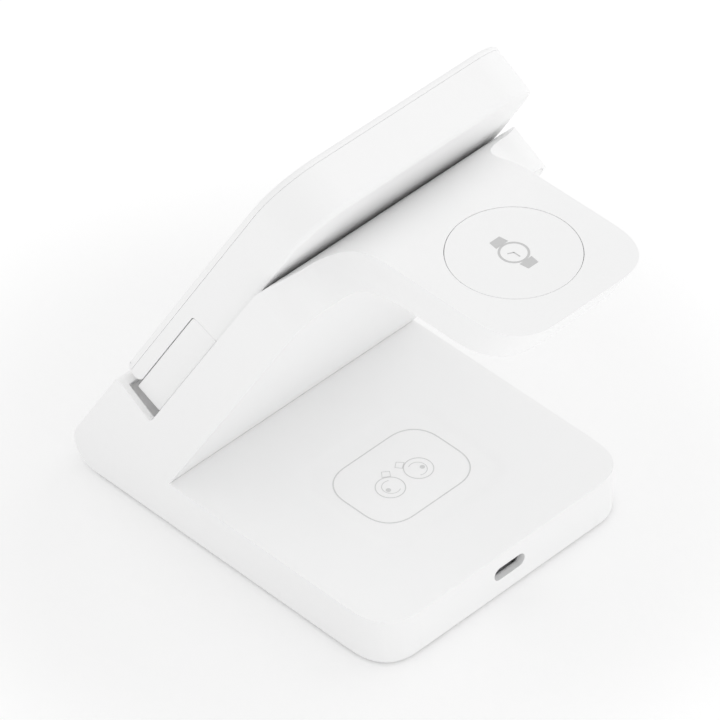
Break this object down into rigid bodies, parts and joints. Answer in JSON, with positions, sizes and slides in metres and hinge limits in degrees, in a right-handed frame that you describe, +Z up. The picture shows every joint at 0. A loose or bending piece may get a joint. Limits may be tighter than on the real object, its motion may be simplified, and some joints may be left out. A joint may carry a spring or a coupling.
{
  "type": "wireless charging stand",
  "caption": "Free-standing wireless charging stand: a leaning, tilting phone panel, a cantilevered watch plate with a flush charging disc, and an earbud pad on the base below it.",
  "frame": {"origin": "middle of the base on the surface that the stand rests on, at the face of the anti-slip pad", "axes": "+X across the stand, +Y from the phone side towards the power inlet, +Z up"},
  "size_m": [0.08, 0.1246, 0.1218],
  "materials": {
    "shell": "fine matte white moulding",
    "cover": "fine matte white moulding",
    "panel": "fine matte white moulding",
    "disc": "smooth matte white",
    "face": "soft silicone sheet",
    "pad": "grey silicone",
    "steel": "zinc plated",
    "pin_steel": "ground rod",
    "socket": "drawn steel shell",
    "ballast": "black-oxide steel plate",
    "pcb": "green solder mask",
    "chips": "black moulded packages",
    "copper": "enamelled copper wire",
    "ferrite": "dark grey ferrite",
    "magnet": "nickel plated",
    "washer": "bare acetal",
    "lead": "black jacket"
  },
  "bodies": {
    "stand": {"stand_shell": "shell", "rear_cover": "cover", "bottom_cover": "cover", "antislip_pad": "pad", "bottom_screws": "steel", "ballast_plate": "ballast", "main_board": "pcb", "board_parts": "chips", "board_screws": "steel", "usb_socket": "socket", "earbud_coil": "copper", "earbud_ferrite": "ferrite", "watch_disc": "disc", "watch_coil": "copper", "watch_ferrite": "ferrite", "watch_magnet": "magnet", "watch_lead": "lead", "hinge_block_right": "shell", "hinge_block_left": "shell", "hinge_screws": "steel", "hinge_pins": "pin_steel", "friction_washers": "washer", "panel_lead": "lead"},
    "phone_panel": {"panel_rear_shell": "panel", "panel_front_cover": "panel", "panel_face_sheet": "face", "phone_coil": "copper", "phone_ferrite": "ferrite", "phone_magnets": "magnet", "panel_board": "pcb", "panel_board_parts": "chips", "panel_screws": "steel"}
  },
  "joints": [
    {"name": "panel_tilt", "type": "hinge", "parent": "stand", "child": "phone_panel", "pos_m": [0, -0.03212, 0.03815], "axis": [1, 0, 0], "range_deg": [0, 20]}
  ]
}
